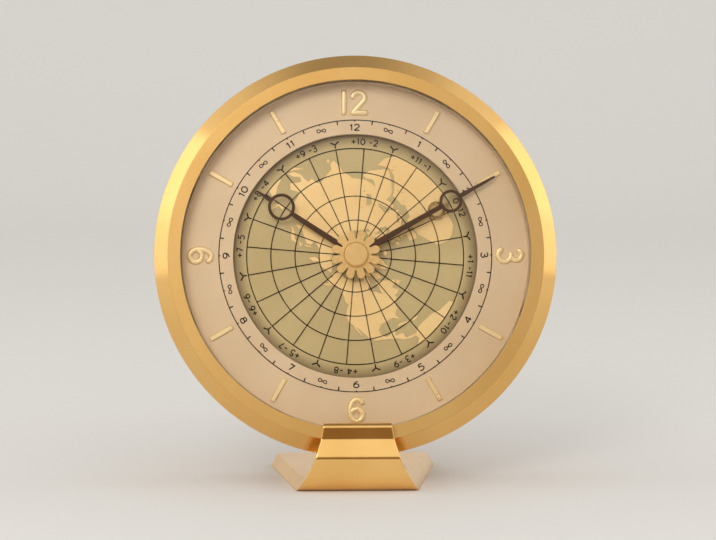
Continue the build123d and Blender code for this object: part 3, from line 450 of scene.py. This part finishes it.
def shaded_disc(name, light, dark, rim, rough, metallic, lift):
    """Satin lacquer of the world disc, with painted shadow darkening it towards its rim."""
    shader = Shader(name)
    away, _ = shader.polar()
    grain = shader.noise(PAINT_GRAIN)
    plain = shader.mix(shader.span(shader.noise(PAINT_DRIFT), 0.0, 1.0), dark, light)
    shader.set(
        # Painted shadow: the colour turns towards the rim colour near the disc's edge
        Base_Color=shader.mix(shader.span(away, 0.0, PAINTED_SHADOW_SHARE, PAINTED_SHADOW_RADII), plain, rim),
        Metallic=metallic,
        Roughness=shader.span(grain, *rough),
        Normal=shader.bump(grain, lift, GRAIN_DEPTH),
    )
    return shader.material


# Radii between which the satin band gives way to the bevel, and its lines to a millimetre and to a radian
BAND_EDGE = (74.2, 74.6)
LINES_ACROSS = 14.0
LINES_ROUND = 5.0


def turned_gold(name, light, dark, band_shaded_light, band_shaded_dark, polish, satin, edge, lift):
    """Bezel: a band with a fine circular satin grain, inside a polished bevel; the band's gold is darkened as
    painted shade.
    """
    shader = Shader(name)
    away, turn = shader.polar()
    place = shader.node("ShaderNodeCombineXYZ")
    shader.put(place.inputs["X"], shader.math("MULTIPLY", away, LINES_ACROSS))
    shader.put(place.inputs["Y"], shader.math("MULTIPLY", turn, LINES_ROUND))
    lines = shader.noise(BEZEL_LINES, place.outputs[0])
    drift = shader.noise(BEZEL_DRIFT)
    band = shader.span(away, 1.0, 0.0, BAND_EDGE)
    tone = shader.span(drift, 0.0, 1.0)
    height = shader.math("MULTIPLY", lines, band)
    shader.set(
        # The band takes its own darker gold: painted shade on the flat band
        Base_Color=shader.mix(band, shader.mix(tone, dark, light), shader.mix(tone, band_shaded_dark, band_shaded_light)),
        Metallic=1.0,
        Roughness=shader.mix(band, shader.span(drift, *polish), shader.span(lines, *satin), kind="FLOAT"),
        Normal=shader.bump(height, lift, LINE_DEPTH, shader.round_edges(edge)),
    )
    return shader.material


def clear_glass(name, clean, smudged, shadow):
    """Flat clear glass that lets lamps through to the dial."""
    shader = Shader(name)
    smudge = shader.span(shader.noise(GLASS_SMUDGES), 0.0, 1.0, SMUDGE_RANGE)
    shader.set(
        Base_Color=shader.mix(smudge, clean, smudged),
        Roughness=0.0,
        IOR=1.48,
        Transmission_Weight=1.0,
    )
    through = shader.node("ShaderNodeBsdfTransparent")
    shader.put(through.inputs["Color"], shadow)
    light_path = shader.node("ShaderNodeLightPath")
    blend = shader.node("ShaderNodeMixShader")
    shader.put(blend.inputs["Fac"], light_path.outputs["Is Shadow Ray"])
    shader.put(blend.inputs[1], shader.surface.outputs["BSDF"])
    shader.put(blend.inputs[2], through.outputs["BSDF"])
    shader.put(shader.tree.nodes["Material Output"].inputs["Surface"], blend.outputs["Shader"])
    return shader.material


GOLD_LIGHT = (0.96, 0.60, 0.21)
GOLD_DARK = (0.88, 0.51, 0.16)
gold_bezel = turned_gold(
    "gold_bezel",
    light=(0.88, 0.55, 0.20), dark=(0.80, 0.47, 0.15),
    # Band colours: the bevel's gold darkened to about three quarters, as painted shade on the flat band
    band_shaded_light=(0.66, 0.41, 0.145), band_shaded_dark=(0.60, 0.35, 0.11),
    polish=(0.14, 0.2), satin=(0.36, 0.48), edge=0.3, lift=0.06,
)
gold_polished = metal("gold_polished", GOLD_LIGHT, GOLD_DARK, rough=(0.07, 0.14), edge=0.6)
gold_satin = metal("gold_satin", GOLD_LIGHT, GOLD_DARK, rough=(0.26, 0.4), edge=0.3)
gold_applied = metal(
    "gold_applied", (1.0, 0.78, 0.44), (0.96, 0.70, 0.35), rough=(0.26, 0.33), edge=0, lift=0, metallic=0.6,
)
gold_land = metal(
    "gold_land", (1.0, 0.72, 0.34), (0.98, 0.65, 0.28), rough=(0.26, 0.36), edge=0, lift=0, metallic=0.4,
)
gold_hub = metal(
    "gold_hub", (0.97, 0.66, 0.29), (0.90, 0.57, 0.21), rough=(0.22, 0.25), edge=0.2, lift=0, metallic=0.75,
)
gold_alarm = metal(
    "gold_alarm", (0.42, 0.28, 0.10), (0.35, 0.22, 0.07), rough=(0.2, 0.28), edge=0.1, lift=0, metallic=0.8,
)
brass = metal("brass", (0.80, 0.58, 0.24), (0.70, 0.48, 0.18), rough=(0.2, 0.34))
steel = metal("steel", (0.66, 0.66, 0.66), (0.55, 0.55, 0.56), rough=(0.22, 0.36))
nickel = metal("nickel", (0.76, 0.75, 0.72), (0.66, 0.65, 0.63), rough=(0.16, 0.28))
case_gold = lacquer(
    "case_gold", colour(196, 150, 82), colour(178, 132, 66), rough=(0.3, 0.42), metallic=0.75, edge=0.3,
)
champagne = lacquer(
    "champagne", colour(230, 202, 166), colour(221, 191, 152), rough=(0.34, 0.46), metallic=0.25, lift=0.03,
)
spacer_tan = lacquer("spacer_tan", colour(216, 190, 152), colour(206, 178, 138), rough=(0.4, 0.55))
# The world disc's olive lacquer; rim is the colour of the painted shadow at its edge
olive = shaded_disc(
    "olive", colour(207, 183, 130), colour(195, 170, 116), rim=colour(106, 84, 55),
    rough=(0.36, 0.5), metallic=0.2, lift=0.04,
)
hand_black = lacquer(
    "hand_black", (0.080, 0.030, 0.010), (0.060, 0.022, 0.007), rough=(0.3, 0.42), lift=0.02, shine=0.2,
)
plastic_black = lacquer(
    "plastic_black", (0.040, 0.039, 0.038), (0.026, 0.025, 0.025), rough=(0.34, 0.5), edge=0.3,
)
board_green = lacquer("board_green", (0.045, 0.20, 0.085), (0.03, 0.15, 0.06), rough=(0.3, 0.45))
cell_wrap = lacquer("cell_wrap", (0.09, 0.11, 0.15), (0.06, 0.075, 0.105), rough=(0.25, 0.38))
ink = lacquer(
    "ink", (0.016, 0.010, 0.007), (0.009, 0.006, 0.004), rough=(0.5, 0.66), lift=0.02, edge=0, shine=0.15,
)
glass = clear_glass(
    "clear_glass", clean=(0.99, 0.99, 0.985), smudged=(0.975, 0.975, 0.97), shadow=(0.97, 0.98, 0.97),
)

finishes = {
    gold_bezel: ["bezel"],
    gold_polished: ["stand"],
    gold_applied: ["hour_batons", "hour_numerals"],
    gold_land: ["map_continents"],
    gold_hub: ["rosette", "hand_cap"],
    gold_alarm: ["alarm_hand"],
    gold_satin: ["stand_saddle"],
    case_gold: ["case_drum", "back_cover", "battery_door"],
    brass: [
        "case_posts", "carrier_spacers", "disc_wheel", "alarm_wheel", "hour_wheel", "centre_wheel",
        "minute_wheel", "carrier_plate", "centre_bush", "rear_plate", "plate_pillars", "board_posts",
    ],
    steel: [
        "foot_screws", "saddle_screws", "back_cover_screws", "centre_arbor", "minute_wheel_stud",
        "plate_screws", "motor_pinion", "time_set_arbor", "alarm_set_arbor", "battery_door_pin",
    ],
    nickel: ["drive_motor", "quartz_can", "positive_contact", "negative_contact"],
    champagne: ["dial_plate"],
    olive: ["world_disc"],
    hand_black: ["minute_hand", "hour_hand"],
    spacer_tan: ["spacer_ring"],
    plastic_black: [
        "control_chip", "buzzer", "time_set_knob", "alarm_set_knob", "alarm_switch", "switch_housing",
        "battery_tray",
    ],
    board_green: ["circuit_board"],
    cell_wrap: ["battery"],
    glass: ["crystal"],
}
for finish, names in finishes.items():
    for name in names:
        for holder in nodes[name].material_slots:
            holder.material = finish

# Ring of hours printed on the dial: a circle with ticks, plain figures and a loop between each two
RING_RADIUS = 54.4
RING_STEPS = 240
RING_WIDTH = 0.42
TICKS = 48
TICK_WIDTH = 0.5
LONG_TICK = 1.6
SHORT_TICK = 0.55
HOUR_STEP = 30
HOUR_RADIUS = 51.5
HOUR_HEIGHT = 2.4
HOUR_WIDTH = 0.5
HOUR_STRETCH = 1.3
LOOP_RADIUS = HOUR_RADIUS + 0.3
LOOP_STEPS = 48
LOOP_WIDTH = 0.4
LOOP_HALF_LENGTH = 1.7
LOOP_HALF_HEIGHT = 0.62
LOOP_TILT = 0.22

bm = bmesh.new()
ribbon(bm, circle(RING_RADIUS, RING_STEPS), RING_WIDTH, ON_DIAL, closed=True)
for tick in range(TICKS):
    angle = 360 / TICKS * tick
    reach = LONG_TICK if tick % 2 else SHORT_TICK
    ribbon(bm, [clock(angle, RING_RADIUS), clock(angle, RING_RADIUS - reach)], TICK_WIDTH, ON_DIAL)
for hour in range(1, 13):
    lettering(
        bm, str(hour), HOUR_STEP * hour, HOUR_RADIUS, HOUR_HEIGHT, HOUR_WIDTH, ON_DIAL,
        inward=4 <= hour <= 8, stretch=HOUR_STRETCH,
    )
    middle = HOUR_STEP * hour + HOUR_STEP / 2
    loop = []
    for step in range(LOOP_STEPS):
        turn = 2 * math.pi * step / LOOP_STEPS
        across = LOOP_HALF_LENGTH * math.sin(turn)
        away = LOOP_HALF_HEIGHT * math.sin(2 * turn) - LOOP_TILT * math.sin(turn)
        loop.append(clock(middle + math.degrees(across / HOUR_RADIUS), LOOP_RADIUS + away))
    ribbon(bm, loop, LOOP_WIDTH, ON_DIAL, closed=True)
face_piece("ring_print", bm, "case", ink)

# Lines of longitude and latitude on the world disc
LINE_WIDTH = 0.38
MERIDIANS = 24
MERIDIAN_STEP = 360 / MERIDIANS
MERIDIAN_START = 7.0
LATITUDES = (0, 20, 40, 60)

bm = bmesh.new()
for step in range(MERIDIANS):
    angle = DISC_TURN % MERIDIAN_STEP + MERIDIAN_STEP * step
    ribbon(bm, [clock(angle, MERIDIAN_START), clock(angle, EQUATOR)], LINE_WIDTH, OVER_LAND)
for latitude in LATITUDES:
    ribbon(bm, circle(EQUATOR * (90 - latitude) / 90), LINE_WIDTH, OVER_LAND, closed=True)
face_piece("graticule", bm, "disc_train", ink)

# Hours that each zone is ahead or behind, with a fork between each two
ZONES = 12
ZONE_STEP = 360 / ZONES
ZONE_RADIUS = 46.2
ZONE_HEIGHT = 2.3
ZONE_WIDTH = 0.46
FORK_FOOT = 44.0
FORK_RADIUS = 45.4
FORK_WIDTH = 0.55
ARM_WIDTH = 0.6
ARM = ((0.9, 46.0), (2.1, 46.6))

bm = bmesh.new()
for zone in range(ZONES):
    angle = DISC_TURN + ZONE_STEP * zone
    label = f"+{zone} -{ZONES - zone}" if zone else f"0  {ZONES}"
    lettering(bm, label, angle, ZONE_RADIUS, ZONE_HEIGHT, ZONE_WIDTH, ON_DISC)
    middle = angle + ZONE_STEP / 2
    fork = clock(middle, FORK_RADIUS)
    ribbon(bm, [clock(middle, FORK_FOOT), fork], FORK_WIDTH, ON_DISC)
    for side in (-1, 1):
        arm = [clock(middle + side * spread, radius) for spread, radius in ARM]
        ribbon(bm, [fork, *arm], ARM_WIDTH, ON_DISC)
face_piece("zone_print", bm, "disc_train", ink)

# Domed figures of the applied hours: the strokes of each, and which stands where and turned how far
STROKE_RADIUS = 1.12
STROKE_HEIGHT = 0.9
FIGURE_SHARP = 50
applied = {
    "one": [stroke((0, -4.3), (0, 0), (0, 3.9))],
    "two": [
        arc((-2.6, 2.1), (-0.1, 3.95), (2.1, 0.8)) + stroke((-2.6, -4.3)),
        stroke((-2.6, -4.3), (0, -4.3), (2.6, -4.3)),
    ],
    "three": [
        arc((-1.77, 3.7), (2.08, 2.2), (-0.31, 0.4)),
        arc((-0.31, 0.4), (2.6, -2.1), (-2.18, -3.6)),
    ],
    "six": [
        arc((2.16, 3.05), (0.29, 4.3), (-1.22, 3.61))
        + arc((-1.22, 3.61), (-2.68, -0.3), (-2.05, -2.97))[1:]
        + arc((-2.05, -2.97), (2.5, -1.89), (-1.97, -0.69), steps=48)[1:],
    ],
}
places = [
    ("one", -4.3, MARKER_CIRCLE, 0),
    ("two", 1.8, MARKER_CIRCLE, 0),
    ("three", MARKER_CIRCLE, 0, -90),
    ("six", 0, -MARKER_CIRCLE, 0),
    ("six", -MARKER_CIRCLE, 0, -90),
]

bm = bmesh.new()
for figure, u, v, turn in places:
    turned = Matrix.Rotation(math.radians(turn), 2)
    for path in applied[figure]:
        half_round(bm, [turned @ point + Vector((u, v)) for point in path], STROKE_RADIUS, STROKE_HEIGHT)
numerals = face_piece("figures", bm, "case", gold_applied, sharp=FIGURE_SHARP)
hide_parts("hour_numerals")

# Stand with its edges rounded, except at its screws, and its sides drawn in to one line at the waist
EDGE_ROUND = 0.0011
EDGE_STEPS = 4
SHARP_FROM = 35
FLAT_WITHIN = 0.5
SCREWS = (Vector((-0.006, 0.010)), Vector((0.006, 0.010)))
SCREW_ROOM = 0.0035
FOOT_FRONT_WIDTH = 0.0468
SIDE_SLANT = 0.53
WAIST_HEIGHT = 0.0115
WAIST_HALF = FOOT_FRONT_WIDTH / 2 - SIDE_SLANT * WAIST_HEIGHT
SAME_HEIGHT = 1e-5
SAME_POINT = 1e-6

bm = bmesh.new()
bm.from_mesh(nodes["stand"].data)
for vert in bm.verts:
    if abs(vert.co.z - WAIST_HEIGHT) < SAME_HEIGHT and abs(vert.co.x) > WAIST_HALF:
        vert.co.x = math.copysign(WAIST_HALF, vert.co.x)
bmesh.ops.remove_doubles(bm, verts=bm.verts, dist=SAME_POINT)
bmesh.ops.dissolve_limit(bm, angle_limit=math.radians(FLAT_WITHIN), verts=bm.verts, edges=bm.edges)
corners = []
for edge in bm.edges:
    if len(edge.link_faces) == 2 and edge.calc_face_angle() > math.radians(SHARP_FROM):
        if all((vert.co.xy - screw).length > SCREW_ROOM for vert in edge.verts for screw in SCREWS):
            corners.append(edge)
bmesh.ops.bevel(
    bm, geom=corners, offset=EDGE_ROUND, segments=EDGE_STEPS, profile=0.5, affect="EDGES", clamp_overlap=True,
)
bmesh.ops.recalc_face_normals(bm, faces=bm.faces)
rounded_stand = add("rounded_stand", bm, gold_polished, sharp=SHARP_FROM)
weighted = rounded_stand.modifiers.new("flat_faces", "WEIGHTED_NORMAL")
weighted.keep_sharp = True
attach(rounded_stand, "case")
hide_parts("stand")

# Stage: a pale floor that sweeps up behind
FLOOR_HALF_WIDTH = 4.0
FLOOR_FRONT = -3.0
SWEEP_START = 1.4
SWEEP_RADIUS = 0.8
SWEEP_STEPS = 12
FLOOR_TOP = 3.0
NO_SHARP_EDGE = 180

profile = [(FLOOR_FRONT, 0.0), (SWEEP_START, 0.0)]
for step in range(1, SWEEP_STEPS + 1):
    turn = math.pi / 2 * step / SWEEP_STEPS
    profile.append((
        SWEEP_START + SWEEP_RADIUS * math.sin(turn),
        SWEEP_RADIUS - SWEEP_RADIUS * math.cos(turn),
    ))
profile.append((SWEEP_START + SWEEP_RADIUS, FLOOR_TOP))
bm = bmesh.new()
left, right = [
    [bm.verts.new((x, y, z)) for y, z in profile] for x in (-FLOOR_HALF_WIDTH, FLOOR_HALF_WIDTH)
]
for step in range(len(profile) - 1):
    bm.faces.new((left[step], right[step], right[step + 1], left[step + 1]))
bmesh.ops.recalc_face_normals(bm, faces=bm.faces)
paper = Shader("pale_floor")
paper.set(Base_Color=(0.86, 0.85, 0.83), Roughness=0.7)
floor = add("floor", bm, paper.material, sharp=NO_SHARP_EDGE)

# Surroundings: their level by the height of a direction, from the horizon to overhead
SKY_LEVELS = (
    (0.0, 0.5), (0.17, 0.54), (0.22, 0.6), (0.3, 0.92), (0.68, 1.0), (0.8, 0.9), (0.88, 0.66), (0.95, 0.36),
    (1.0, 0.26),
)
SKY_TINT = (1.0, 0.98, 0.95)

# Dark card before the clock: its direction, the angles from there between which it fades in, and its colour
CARD_DIRECTION = (0.034, -0.983, 0.182)
CARD_EDGE = (11, 4)
CARD_COLOUR = (0.26, 0.17, 0.09)


def surroundings(name):
    """Soft light from all round, brightest halfway up, with a dark card in it."""
    world = bpy.data.worlds.new(name)
    world.use_nodes = True
    tree = Tree(world.node_tree)
    direction = tree.node("ShaderNodeTexCoord").outputs["Generated"]
    height = tree.node("ShaderNodeSeparateXYZ")
    tree.put(height.inputs["Vector"], direction)
    sky = tree.node("ShaderNodeValToRGB")
    tree.put(sky.inputs["Fac"], height.outputs["Z"])
    sky.color_ramp.interpolation = "EASE"
    stops = sky.color_ramp.elements
    for place, level in SKY_LEVELS:
        stop = stops[0] if place == 0.0 else stops[-1] if place == 1.0 else stops.new(place)
        stop.color = (*(level * tint for tint in SKY_TINT), 1.0)
    edge = [math.cos(math.radians(angle)) for angle in CARD_EDGE]
    nearness = tree.vector("DOT_PRODUCT", direction, CARD_DIRECTION)
    card = tree.span(nearness, 0.0, 1.0, edge, interpolation_type="SMOOTHSTEP")
    background = tree.tree.nodes["Background"]
    tree.put(background.inputs["Color"], tree.mix(card, sky.outputs["Color"], CARD_COLOUR))
    tree.put(background.inputs["Strength"], 1.0)
    return world


def facing(direction):
    """Rotation of a lamp or camera that looks along a direction."""
    return direction.to_track_quat("-Z", "Y").to_euler()


LAMP_TINT = (1.0, 0.97, 0.92)


def lamp(name, place, size, power):
    """A soft box that faces the clock, and isn't seen itself or through the glass."""
    data = bpy.data.lights.new(name, "AREA")
    data.shape = "RECTANGLE"
    data.size, data.size_y = size
    data.energy = power
    data.color = LAMP_TINT
    obj = link(name, data)
    obj.location = place
    obj.rotation_euler = facing(CENTRE - Vector(place))
    obj.visible_transmission = False
    obj.visible_camera = False


bpy.context.scene.world = surroundings("studio")
lamp("key", place=(-0.41, -1.26, 0.8), size=(0.5, 0.5), power=4.2)
for name, side in (("right_rim", 1), ("left_rim", -1)):
    lamp(name, place=(side * 1.12, 0.11, 0.5), size=(0.5, 0.95), power=1.3)

# Camera
AZIMUTH = math.radians(-2.0)
ELEVATION = math.radians(5.0)
DISTANCE = 1.0
AIM = CENTRE + Vector((1.0, 0, -5.8)) * MM
SENSOR_WIDTH = 36.0
LENS = 126.0

camera_data = bpy.data.cameras.new("camera")
camera_data.sensor_width = SENSOR_WIDTH
camera_data.lens = LENS
camera = link("camera", camera_data)
away = Vector((
    math.sin(AZIMUTH) * math.cos(ELEVATION),
    -math.cos(AZIMUTH) * math.cos(ELEVATION),
    math.sin(ELEVATION),
))
camera.location = AIM + away * DISTANCE
camera.rotation_euler = facing(-away)
bpy.context.scene.camera = camera

bpy.context.scene.view_settings.view_transform = "Standard"
